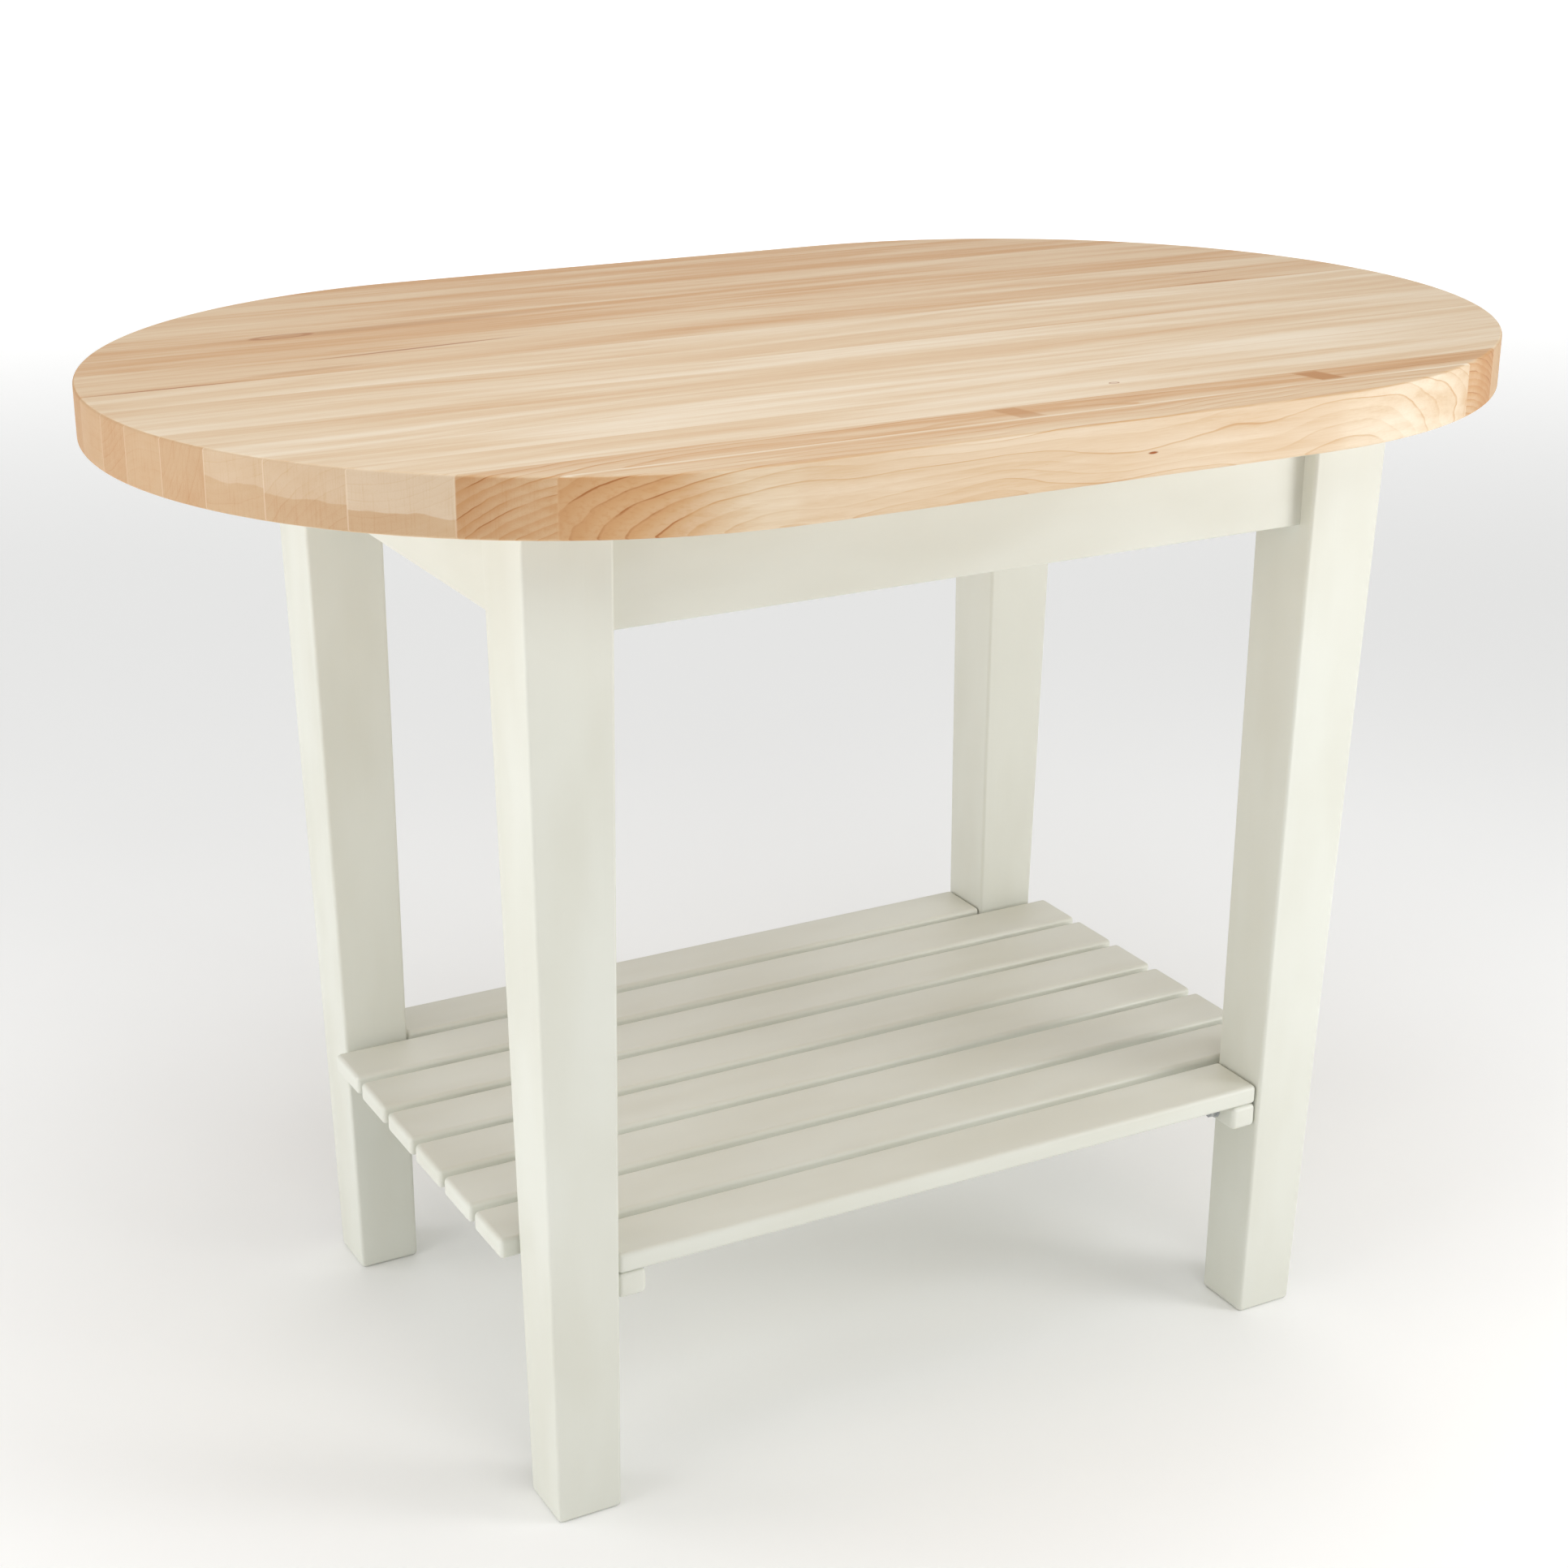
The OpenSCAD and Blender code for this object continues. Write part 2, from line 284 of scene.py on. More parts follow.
class Graph:
    """The shader nodes of one material, written as formulas. Lengths in it are in mm."""

    def __init__(self, name):
        self.material = bpy.data.materials.new(name)
        self.material.use_nodes = True
        self.tree = self.material.node_tree
        self.tree.nodes.clear()

    def feed(self, socket, value):
        if isinstance(value, bpy.types.NodeSocket):
            self.tree.links.new(value, socket)
        else:
            socket.default_value = value

    def node(self, kind, settings, inputs):
        made = self.tree.nodes.new(kind)
        for key, value in settings.items():
            setattr(made, key, value)
        for key, value in inputs.items():
            self.feed(made.inputs[key], value)
        return made

    def math(self, operation, *values):
        return self.node("ShaderNodeMath", {"operation": operation}, dict(enumerate(values))).outputs[0]

    def vector(self, operation, a, b):
        return self.node("ShaderNodeVectorMath", {"operation": operation}, {0: a, 1: b}).outputs[0]

    def split(self, vector):
        return self.node("ShaderNodeSeparateXYZ", {}, {0: vector}).outputs

    def place(self):
        """The point in the frame, in mm."""
        coordinates = self.node("ShaderNodeTexCoord", {}, {}).outputs["Object"]
        return self.vector("DIVIDE", coordinates, (MM, MM, MM))

    def normal(self):
        return self.node("ShaderNodeTexCoord", {}, {}).outputs["Normal"]

    def noise(self, place, size, seed=0.0, detail=2.0, roughness=0.5):
        """Noise round 0.5, whose patches are about size long in X, Y and Z."""
        scaled = self.vector("DIVIDE", place, size)
        moved = self.vector("ADD", scaled, (7.1 * seed, 3.3 * seed, 5.7 * seed))
        inputs = {"Vector": moved, "Scale": 1.0, "Detail": detail, "Roughness": roughness}
        return self.node("ShaderNodeTexNoise", {}, inputs).outputs["Fac"]

    def swing(self, place, size, seed, detail=2.0):
        """The same noise, round 0."""
        return self.math("SUBTRACT", self.noise(place, size, seed, detail), 0.5)

    def reaches(self, value, middle, reach):
        """How many reaches a value is from a middle."""
        return self.math("DIVIDE", self.math("SUBTRACT", value, middle), reach)

    def squares(self, a, b):
        return self.math("MULTIPLY_ADD", a, a, self.math("MULTIPLY", b, b))

    def total(self, start, *parts):
        """A start with parts added to it, each of them with its share."""
        for part, share in parts:
            start = self.math("MULTIPLY_ADD", part, share, start)
        return start

    def between(self, amount, a, b):
        """A number that goes from a to b as amount goes from 0 to 1."""
        return self.math("MULTIPLY_ADD", amount, self.math("SUBTRACT", b, a), a)

    def rise(self, value, low, high):
        """A soft step from 0 at low to 1 at high."""
        settings = {"interpolation_type": "SMOOTHSTEP"}
        inputs = {"Value": value, "From Min": low, "From Max": high}
        return self.node("ShaderNodeMapRange", settings, inputs).outputs["Result"]

    def mix(self, amount, a, b, blend="MIX"):
        """A colour that goes from a to b as amount goes from 0 to 1."""
        inputs = {0: amount, 6: a, 7: b}
        return self.node("ShaderNodeMix", {"data_type": "RGBA", "blend_type": blend}, inputs).outputs[2]

    def bump(self, height, strength, distance, normal=None):
        """The normal of a surface with this height, over another normal if one is given."""
        inputs = {"Height": height, "Strength": strength, "Distance": distance * MM}
        if normal is not None:
            inputs["Normal"] = normal
        return self.node("ShaderNodeBump", {}, inputs).outputs["Normal"]

    def finish(self, **inputs):
        """Ends the material in a Principled shader. Names of sockets have _ for a space."""
        named = {key.replace("_", " "): value for key, value in inputs.items()}
        shader = self.node("ShaderNodeBsdfPrincipled", {}, named)
        self.node("ShaderNodeOutputMaterial", {}, {"Surface": shader.outputs[0]})
        return self.material


# Maple, from its palest streaks to its darkest marks
MAPLE_CREAM = srgb(235, 220, 197)
MAPLE_HONEY = srgb(220, 194, 160)
MAPLE_TAN = srgb(203, 157, 109)
MAPLE_RUST = srgb(184, 130, 76)
MAPLE_BROWN = srgb(156, 84, 28)
END_TINT = srgb(228, 219, 211)

# How each stave was sawn, from the front: how tan it is, which is partly the stave's own tone and partly
# painted light, with paler staves at the front and middle and darker ones at the back standing in for
# the soft highlight on the middle front of the top, the middle of its growth rings from its own middle
# across and up in mm, how far apart the rings are in mm and how plain they show
STAVE_LOOKS = [
    (-0.02, -80, -60, 6.5, 0.90),
    (0.45, -40, -58, 5.5, 1.10),
    (0.11, 26, 90, 5.2, 0.15),
    (0.08, -60, -70, 6.2, 0.20),
    (0.06, 18, 110, 7.0, 0.15),
    (0.24, 80, 40, 5.0, 0.18),
    (0.10, -24, -95, 6.4, 0.14),
    (0.30, 50, 85, 5.4, 0.20),
    (0.16, -16, 120, 7.4, 0.14),
    (0.42, 90, -30, 5.8, 0.20),
    (0.35, 20, -88, 6.8, 0.16),
    (0.49, -70, 60, 5.2, 0.20),
    (0.46, 30, 105, 6.0, 0.16),
    (0.38, -20, -110, 7.2, 0.20),
    (0.50, 60, 70, 5.6, 0.18),
    (0.44, -85, 30, 6.2, 0.20),
    (0.52, 16, 100, 6.6, 0.16),
]

# Marks on the upper faces by stave: the kind, its middle in X and Y, half its length and half
# its width in mm, its lean and how dark it is. A patch is a block of rust-coloured wood that
# leans by its run over its rise. A rust streak, a thin brown line and a knot, which has a dark
# rim, are long ovals that lean by their rise over their run.
STAVE_MARKS = {
    2: [("patch", -20, -333, 11, 17, -0.2, 0.60), ("patch", 257, -333, 12, 16, -0.2, 1.00),
        ("streak", 50, -338, 90, 5, 0.01, 0.25), ("streak", 345, -334, 95, 6, 0.02, 0.40)],
    3: [("knot", 102, -281, 4.5, 2.6, 0, 0.8)],
    10: [("line", -542, 36.5, 76, 2.4, 0.0, 0.7), ("streak", -420, 52, 62, 5.5, 0.06, 0.40),
         ("line", 438, 40, 46, 2.0, 0.0, 0.6)],
    11: [("line", -316, 95, 110, 2.8, 0.08, 0.7), ("line", 461, 88.5, 38, 2.0, 0.0, 0.7)],
    13: [("streak", -300, 194, 180, 11, 0.03, 0.62), ("knot", -398, 193, 27, 8, 0.05, 0.50)],
}

# Reach of the glue line on each side of a joint, in mm
GLUE_LINE_MM = 0.7

# Painted light over the left end of some staves: the end grain is painted paler above a ragged line,
# standing in for light on its upper part and shade below it. The height above which it is, in mm, and
# how much paler
END_PAINTED_LIGHT = {3: (863, 0.42), 4: (866, 0.24), 5: (872, 0.22)}

# How much darker the ends of a heartwood stave are
END_HEARTWOOD = {2: 0.17}

# The front stave, in mm: where along X its front turns to heartwood at the left and tan at the
# right, and how far from its back joint the pale band on its upper face is. Each pair runs from
# where the change starts to where it is complete.
FRONT_STAVE = 1
FRONT_HEART_MM = (-268, -360)
FRONT_RIGHT_TAN_MM = (300, 430)
FRONT_BAND_MM = (5.0, 2.5)

# How much more tan its upper face is than its front
FRONT_UPPER_TAN = 0.38

# A pin knot on the front, in mm: its place in X and Z, half its size, the reach of the bend that
# it puts in the rings and how far it pushes them
PIN_KNOT_MM = (58.6, 866)
PIN_KNOT_HALF_MM = (5.0, 1.1)
PIN_KNOT_REACH_MM = (60.0, 16.0)
PIN_KNOT_PUSH_MM = 9


def mark_mask(g, x, y, waver, mark):
    """Where a mark of the top is, from 0 to its darkness."""
    kind, middle_x, middle_y, half_l, half_w, lean, darkness = mark
    dx = g.math("SUBTRACT", x, middle_x)
    dy = g.math("SUBTRACT", y, middle_y)
    if kind == "patch":
        along = g.math("DIVIDE", g.math("MULTIPLY_ADD", dy, -lean, dx), half_l)
        aside = g.math("DIVIDE", dy, half_w)
        away = g.math("MAXIMUM", g.math("ABSOLUTE", along), g.math("ABSOLUTE", aside))
        return g.math("MULTIPLY", g.rise(away, 1.15, 0.70), darkness)
    along = g.math("DIVIDE", dx, half_l)
    wavy_dy = g.math("MULTIPLY_ADD", waver, 3.0, dy)
    aside = g.math("DIVIDE", g.math("MULTIPLY_ADD", dx, -lean, wavy_dy), half_w)
    away = g.math("SQRT", g.squares(along, aside))
    filled = g.rise(away, 1.15, 0.35)
    if kind == "knot":
        rim = g.math("MULTIPLY", g.rise(away, 0.55, 0.85), g.rise(away, 1.15, 0.95))
        filled = g.math("MAXIMUM", rim, g.math("MULTIPLY", filled, 0.30))
    return g.math("MULTIPLY", filled, darkness)


def bent_rings(g, place, radius):
    """The distance from the front stave's pith, with a sway to the right of its heartwood and a
    bend round its pin knot."""
    x, _, z = g.split(place)
    sway = g.math("MULTIPLY", g.swing(place, (130, 60, 60), 31.0, 0.5), g.rise(x, -330.0, -120.0))
    run = g.reaches(x, PIN_KNOT_MM[0], PIN_KNOT_REACH_MM[0])
    climb = g.reaches(z, PIN_KNOT_MM[1], PIN_KNOT_REACH_MM[1])
    push = g.math("EXPONENT", g.math("MULTIPLY", g.squares(run, climb), -1.0))
    return g.total(radius, (sway, 36.0), (push, PIN_KNOT_PUSH_MM))


def growth_rings(g, number, look, place, middle):
    """How far into the dark end of its year's ring a point is: a soft shade with a thin line,
    which is bolder in some years and clearer in some places."""
    _, pith_across, pith_up, ring_gap, _ = look
    _, y, z = g.split(place)
    wander = g.swing(place, (420, 170, 170), number, 1.0)
    ripple = g.swing(place, (60, 13, 13), number + 0.3)
    across = g.math("MULTIPLY_ADD", wander, 44.0, g.math("SUBTRACT", y, middle.y / MM + pith_across))
    up = g.math("MULTIPLY_ADD", wander, 34.0, g.math("SUBTRACT", z, middle.z / MM + pith_up))
    radius = g.math("MULTIPLY_ADD", ripple, 3.0, g.math("SQRT", g.squares(across, up)))
    if number == FRONT_STAVE:
        radius = bent_rings(g, place, radius)
    years = g.math("DIVIDE", radius, ring_gap)
    ring = g.math("FRACT", years)
    luck = g.node("ShaderNodeTexWhiteNoise", {"noise_dimensions": "1D"}, {"W": g.math("FLOOR", years)})
    bold = g.rise(luck.outputs["Value"], 0.1, 0.9)
    clear = g.rise(g.noise(place, (150, 20, 20), number + 1.3, 1.0), 0.30, 0.60)
    shade = g.math("MULTIPLY", g.rise(ring, 0.15, 0.95), g.rise(ring, 1.0, 0.95))
    line_in = g.rise(ring, 1 - 1.1 / ring_gap, 1 - 0.4 / ring_gap)
    line = g.math("MULTIPLY", line_in, g.rise(ring, 1.0, 0.97))
    line = g.math("MULTIPLY", g.math("MULTIPLY", line, clear), bold)
    return g.math("MULTIPLY_ADD", line, 0.8, g.math("MULTIPLY", shade, 0.22))


def face_grain(g, number, look, place, waver, rings):
    """How tan the long faces are, and the threads, fibres and flecks in them, on grain that
    runs a little aslant."""
    tan, _, _, _, ring_show = look
    aslant = g.node("ShaderNodeCombineXYZ", {}, {"Y": g.math("MULTIPLY", waver, 34.0)}).outputs[0]
    grain = g.vector("ADD", place, aslant)
    cloud = g.rise(g.noise(grain, (420, 26, 26), number + 0.5, 1.5, 0.5), 0.34, 0.68)
    streak = g.rise(g.noise(grain, (210, 8.5, 8.5), number + 0.6, 2.0, 0.5), 0.40, 0.70)
    thread = g.rise(g.noise(grain, (120, 2.6, 2.6), number + 0.7, 2.0, 0.6), 0.45, 0.75)
    fibre = g.noise(grain, (22, 0.7, 0.7), number + 0.9, 3.0, 0.65)
    fleck = g.rise(g.noise(grain, (8, 0.8, 0.8), number + 1.1, 1.0), 0.70, 0.82)
    # The stave's tan is partly painted light: the front and middle staves are paler for the highlight
    # there, and the back staves darker
    tone = g.total(tan, (cloud, 0.30), (streak, 0.18), (thread, 0.07), (rings, 0.55 * ring_show))
    tone = g.total(tone, (g.math("SUBTRACT", fibre, 0.5), 0.35), (fleck, 0.14))
    return tone, thread, fibre, fleck


def end_grain(g, number, look, place, rings):
    """How tan the round ends are, where they cut across the fibres, and the pores in them."""
    tan, _, _, _, ring_show = look
    x, _, z = g.split(place)
    pores = g.rise(g.noise(place, (0.9, 0.9, 0.9), number, 2.0), 0.52, 0.74)
    rays = g.rise(g.noise(place, (1.5, 1.5, 24), number + 0.2, 2.0), 0.50, 0.72)
    blotch = g.noise(place, (30, 30, 18), number + 0.8, 2.0)
    base = 0.30 + 0.55 * tan + END_HEARTWOOD.get(number, 0.0)
    tone = g.total(base, (rings, 0.75 * ring_show), (pores, 0.10), (rays, 0.10), (blotch, 0.28))
    # Painted light: the left end is painted paler above a ragged line, for light above and shade below
    if number in END_PAINTED_LIGHT:
        height, paler = END_PAINTED_LIGHT[number]
        edge = g.math("MULTIPLY_ADD", blotch, 8.0, height - 4.0)
        above = g.rise(g.math("SUBTRACT", z, edge), -0.6, 0.6)
        left = g.rise(x, 0.0, -100.0)
        tone = g.math("MULTIPLY_ADD", g.math("MULTIPLY", above, left), -paler, tone)
    return tone, pores


def front_stave_tone(g, tone, place, back_mm, waver, rings, thread):
    """The front stave's tone: heartwood with bolder rings at the left of its front, and a tan
    upper face with a pale band along its back joint, which is at back_mm."""
    x, y, _ = g.split(place)
    upper = g.rise(g.split(g.normal())[2], 0.4, 0.8)
    upper_tone = g.math("ADD", tone, FRONT_UPPER_TAN)
    from_back = g.math("SUBTRACT", back_mm, y)
    pale_band = g.math("MULTIPLY", g.rise(from_back, *FRONT_BAND_MM), upper)
    right_tone = g.math("MULTIPLY_ADD", g.rise(x, *FRONT_RIGHT_TAN_MM), 0.15, tone)
    heart = g.rise(g.math("MULTIPLY_ADD", waver, 150.0, x), *FRONT_HEART_MM)
    heart_tone = g.math("MULTIPLY_ADD", rings, 0.95, g.math("MULTIPLY_ADD", thread, 0.15, 0.84))
    front_tone = g.between(heart, right_tone, heart_tone)
    return g.math("MULTIPLY_ADD", pale_band, -0.45, g.between(upper, front_tone, upper_tone))


def pin_knot_mask(g, place):
    """Where the pin knot is, from 0 to 1."""
    x, _, z = g.split(place)
    across = g.reaches(x, PIN_KNOT_MM[0], PIN_KNOT_HALF_MM[0])
    up = g.reaches(z, PIN_KNOT_MM[1], PIN_KNOT_HALF_MM[1])
    return g.rise(g.math("SQRT", g.squares(across, up)), 1.1, 0.5)


def maple_colour(g, tone, end):
    """The colour of a tone, which is a little greyer on end grain."""
    colour = g.mix(g.math("MINIMUM", g.math("MULTIPLY", tone, 2.2), 1.0), MAPLE_CREAM, MAPLE_HONEY)
    colour = g.mix(g.rise(tone, 0.35, 1.05), colour, MAPLE_TAN)
    colour = g.mix(g.math("MULTIPLY", g.rise(tone, 0.95, 1.7), 0.7), colour, MAPLE_BROWN)
    return g.mix(end, colour, g.mix(1.0, colour, END_TINT, "MULTIPLY"))


def glue_mask(g, y, middle, width, end):
    """Where the glue lines at a stave's joints show, and how much."""
    from_middle = g.math("ABSOLUTE", g.math("SUBTRACT", y, middle.y / MM))
    from_joint = g.math("SUBTRACT", width / MM / 2, from_middle)
    show = g.math("MULTIPLY_ADD", end, 0.20, 0.15)
    return g.math("MULTIPLY", g.rise(from_joint, GLUE_LINE_MM, 0.0), show)


def maple(number, look, middle, width):
    """Clear-finished maple, sawn from its own place in a log that lies along X."""
    g = Graph(f"maple_stave_{number:02d}")
    place = g.place()
    x, y, _ = g.split(place)
    rings = growth_rings(g, number, look, place, middle)
    waver = g.swing(place, (380, 90, 90), number + 0.4, 1.0)
    face_tone, thread, fibre, fleck = face_grain(g, number, look, place, waver, rings)
    end_tone, pores = end_grain(g, number, look, place, rings)
    end = g.rise(g.math("ABSOLUTE", g.split(g.normal())[0]), 0.30, 0.72)
    tone = g.between(end, face_tone, end_tone)
    if number == FRONT_STAVE:
        back_mm = (middle.y + width / 2) / MM
        tone = front_stave_tone(g, tone, place, back_mm, waver, rings, thread)

    colour = maple_colour(g, tone, end)
    colour = g.mix(glue_mask(g, y, middle, width, end), colour, g.mix(end, MAPLE_TAN, MAPLE_CREAM))
    for mark in STAVE_MARKS.get(number, []):
        tint = MAPLE_BROWN if mark[0] in ("knot", "line") else MAPLE_RUST
        colour = g.mix(mark_mask(g, x, y, waver, mark), colour, tint)
    if number == FRONT_STAVE:
        colour = g.mix(pin_knot_mask(g, place), colour, MAPLE_BROWN)

    height = g.math("MULTIPLY_ADD", fibre, 0.6, g.math("MULTIPLY", fleck, -0.5))
    height = g.math("MULTIPLY_ADD", g.math("MULTIPLY", end, pores), -0.5, height)
    roughness = g.math("MULTIPLY_ADD", fibre, 0.16, g.math("MULTIPLY_ADD", end, 0.12, 0.40))
    normal = g.bump(height, 0.35, 0.12)
    return g.finish(Base_Color=colour, Roughness=roughness, Specular_IOR_Level=0.24, Normal=normal)


PAINT = srgb(223, 224, 214)
PAINT_WARM = srgb(217, 217, 205)


def cream_paint(axis):
    """Satin paint brushed along an axis, with the grain of the wood faint under it."""
    g = Graph(f"cream_paint_{axis}")
    place = g.place()

    def along(run, wide):
        return tuple(run if letter == axis else wide for letter in "xyz")

    grain = g.noise(place, along(120, 2.2), 1.0, 3.0, 0.6)
    brush = g.noise(place, along(60, 0.8), 2.0, 2.0, 0.6)
    skin = g.noise(place, (1.6, 1.6, 1.6), 3.0, 1.0)
    cloud = g.noise(place, along(180, 60), 4.0, 2.0)
    colour = g.mix(g.rise(cloud, 0.30, 0.75), PAINT, PAINT_WARM)
    shade = g.math("MULTIPLY", g.rise(grain, 0.56, 0.80), 0.16)
    colour = g.mix(shade, colour, PAINT_WARM)
    normal = g.bump(grain, 0.30, 0.16)
    normal = g.bump(brush, 0.18, 0.06, normal)
    normal = g.bump(skin, 0.10, 0.04, normal)
    roughness = g.math("MULTIPLY_ADD", brush, 0.14, 0.34)
    return g.finish(Base_Color=colour, Roughness=roughness, Normal=normal)


POPLAR_PALE = srgb(214, 200, 164)
POPLAR_GREEN = srgb(190, 178, 136)


def poplar():
    """Bare poplar of the corner blocks, planed and a little green."""
    g = Graph("poplar")
    place = g.place()
    streak = g.rise(g.noise(place, (22, 22, 5), 1.0, 3.0), 0.40, 0.68)
    fibre = g.noise(place, (12, 12, 0.7), 2.0, 3.0, 0.65)
    colour = g.mix(streak, POPLAR_PALE, POPLAR_GREEN)
    colour = g.mix(g.math("MULTIPLY", g.rise(fibre, 0.5, 0.8), 0.4), colour, POPLAR_GREEN)
    roughness = g.math("MULTIPLY_ADD", fibre, 0.2, 0.55)
    return g.finish(Base_Color=colour, Roughness=roughness, Normal=g.bump(fibre, 0.4, 0.2))


ZINC_BRIGHT = srgb(196, 198, 200)
ZINC_DULL = srgb(166, 169, 174)


def zinc_steel():
    """Zinc-plated steel, slightly mottled and faintly scratched."""
    g = Graph("zinc_steel")
    place = g.place()
    mottle = g.noise(place, (3, 3, 3), 1.0, 3.0, 0.6)
    scratch = g.noise(place, (0.3, 5, 5), 2.0, 2.0)
    colour = g.mix(g.rise(mottle, 0.35, 0.70), ZINC_BRIGHT, ZINC_DULL)
    roughness = g.math("MULTIPLY_ADD", mottle, 0.20, 0.24)
    normal = g.bump(scratch, 0.12, 0.03)
    return g.finish(Base_Color=colour, Metallic=1.0, Roughness=roughness, Normal=normal)


# --------------------------------------------------------------- the table


def stave_mesh(low, high, round_r, straight_half):
    """A stave with these lowest and highest corners, cut from a top that is straight in the
    middle and round at both ends, and whose lower and upper edges are rounded."""
    lower_edge = [(low.z + rise, inset) for rise, inset in eased(TOP_EDGE_R, TOP_EDGE_STEPS)]
    upper_edge = [(high.z - rise, inset) for rise, inset in eased(TOP_EDGE_R, TOP_EDGE_STEPS)]
    spread = math.asin(min(1, high.y / round_r)) - math.asin(max(-1, low.y / round_r))
    steps = math.ceil(math.degrees(spread) / TOP_ARC_STEP_DEG)
    rings = []
    for z, inset in lower_edge + upper_edge[::-1]:
        radius = round_r - inset
        first = math.asin(max(-1, low.y / radius))
        last = math.asin(min(1, high.y / radius))
        turns = [first + (last - first) * step / steps for step in range(steps + 1)]
        right = [(straight_half + radius * math.cos(t), radius * math.sin(t), z) for t in turns]
        left = [(-x, y, z) for x, y, z in reversed(right)]
        rings.append(right + left)
    return loft(rings)


def add_top():
    """The staves, each with its own cut of maple."""
    low, high = cad_box
    round_r = (high.y - low.y) / 2
    straight_half = (high.x - low.x) / 2 - round_r
    nodes = sorted(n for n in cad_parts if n.startswith("top_stave_"))
    for number, node in enumerate(nodes, 1):
        stave_low, stave_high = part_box(node)
        mesh = stave_mesh(stave_low, stave_high, round_r, straight_half)
        middle = (stave_low + stave_high) / 2
        material = maple(number, STAVE_LOOKS[number - 1], middle, stave_high.y - stave_low.y)
        add_piece(f"maple_stave_{number:02d}", mesh, material, [node], sharp_deg=20)


def leg_widths(node):
    """The width of a CAD leg at the top of its foot's chamfer, and the height where that is."""
    points = [v.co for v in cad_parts[node].data.vertices]
    height = min(p.z for p in points if p.z > 1 * MM)
    at_height = [abs(p.x) for p in points if abs(p.z - height) < 0.1 * MM]
    return max(at_height) - min(at_height), height


def add_legs(paint):
    """Square legs, upright on their inner faces and tapered on their outer ones."""
    for corner, (side_x, side_y) in CORNERS.items():
        node = f"leg_{corner}"
        low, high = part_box(node)
        inner_x = min(abs(low.x), abs(high.x))
        inner_y = min(abs(low.y), abs(high.y))
        top_width = high.x - low.x
        foot_width, foot_height = leg_widths(node)
        spread = (top_width - foot_width) / (high.z - foot_height)
        levels = eased(FOOT_EDGE_R, FOOT_EDGE_STEPS) + [(high.z, 0)]
        rings = []
        for z, inset in levels:
            width = foot_width + spread * (z - foot_height)
            inner_corner = (inner_x + inset, inner_y + inset)
            outer_corner = (inner_x + width - inset, inner_y + width - inset)
            outline = rounded_rectangle(inner_corner, outer_corner, LEG_EDGE_R)
            rings.append([(side_x * x, side_y * y, z) for x, y in outline])
        add_piece(f"painted_leg_{corner}", loft(rings), paint, [node])


def add_aprons(paint_x, paint_y):
    """Rails between the legs, with their lower edges rounded."""
    for side in ("front", "back", "left", "right"):
        node = f"apron_{side}"
        low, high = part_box(node)
        runs_in_x = high.x - low.x > high.y - low.y
        wide_low, wide_high = (low.y, high.y) if runs_in_x else (low.x, high.x)
        outline = rounded_rectangle((wide_low, low.z), (wide_high, high.z + APRON_EDGE_R), APRON_EDGE_R)
        outline = [(wide, min(z, high.z)) for wide, z in outline]
        if runs_in_x:
            rings = [[(x, wide, z) for wide, z in outline] for x in (low.x, high.x)]
        else:
            rings = [[(wide, y, z) for wide, z in outline] for y in (low.y, high.y)]
        mesh = loft(rings)
        bmesh.ops.remove_doubles(mesh, verts=mesh.verts, dist=WELD)
        paint = paint_x if runs_in_x else paint_y
        add_piece(f"painted_apron_{side}", mesh, paint, [node])


def add_shelf(paint_x, paint_y):
    """Slats with rounded edges, on two cleats that are counterbored for the slats' screws."""
    for node in sorted(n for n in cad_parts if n.startswith("shelf_slat_")):
        mesh = rounded_box(*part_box(node), SLAT_EDGE_R)
        add_piece(node.replace("shelf", "painted"), mesh, paint_x, [node])
    screws = straight_fasteners("slat_screws")
    for side in ("left", "right"):
        node = f"shelf_cleat_{side}"
        low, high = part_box(node)
        drills = bmesh.new()
        drill = spun([(-COUNTERBORE_DEPTH, COUNTERBORE_D / 2), (COUNTERBORE_DEPTH, COUNTERBORE_D / 2)])
        for head, _, _ in screws:
            if low.x < head.x < high.x:
                add_copy(drills, drill, Matrix.Translation((head.x, head.y, low.z)))
        drill.free()
        mesh = cut(rounded_box(low, high, CLEAT_EDGE_R), drills)
        add_piece(f"painted_cleat_{side}", mesh, paint_y, [node])


# -------------------------------------------------------------- fasteners


def hexagon(angle, across_flats):
    """The radius of a hexagon at an angle."""
    from_flat = (angle + math.pi / 6) % (math.pi / 3) - math.pi / 6
    return across_flats / 2 / math.cos(from_flat)


def hex_levels(bottom, top, chamfered_bottom, chamfered_top):
    """The levels of a hexagon whose corners are turned off at its ends."""
    reach = NUT_AF / 2 / math.cos(math.pi / 6) - NUT_AF / 2
    slope = math.tan(math.radians(NUT_CHAMFER_DEG))
    rises = [reach * slope * step / NUT_CHAMFER_STEPS for step in range(NUT_CHAMFER_STEPS + 1)]

    def level(z, rise):
        limit = NUT_AF / 2 + rise / slope
        return z, lambda angle: min(limit, hexagon(angle, NUT_AF))

    low = [level(bottom, rises[-1])]
    high = [level(top, rises[-1])]
    if chamfered_bottom:
        low = [level(bottom + rise, rise) for rise in rises]
    if chamfered_top:
        high = [level(top - rise, rise) for rise in rises[::-1]]
    return low + high


def thread_levels(start, end, radius, pitch, depth, taper=0.0):
    """The levels of a helical thread from start to end, which comes to a point over its last
    length of taper."""
    count = max(2, round(abs(end - start) / pitch * THREAD_STEPS))
    levels = []
    for i in range(count + 1):
        z = start + (end - start) * i / count
        size = min(1, abs(end - z) / taper) if taper else 1

        def crest(angle, z=z, size=size):
            turn = (z / pitch - angle / (2 * math.pi)) % 1
            return max(0.1 * MM, size * (radius - depth * abs(2 * turn - 1)))

        levels.append((z, crest))
    return levels


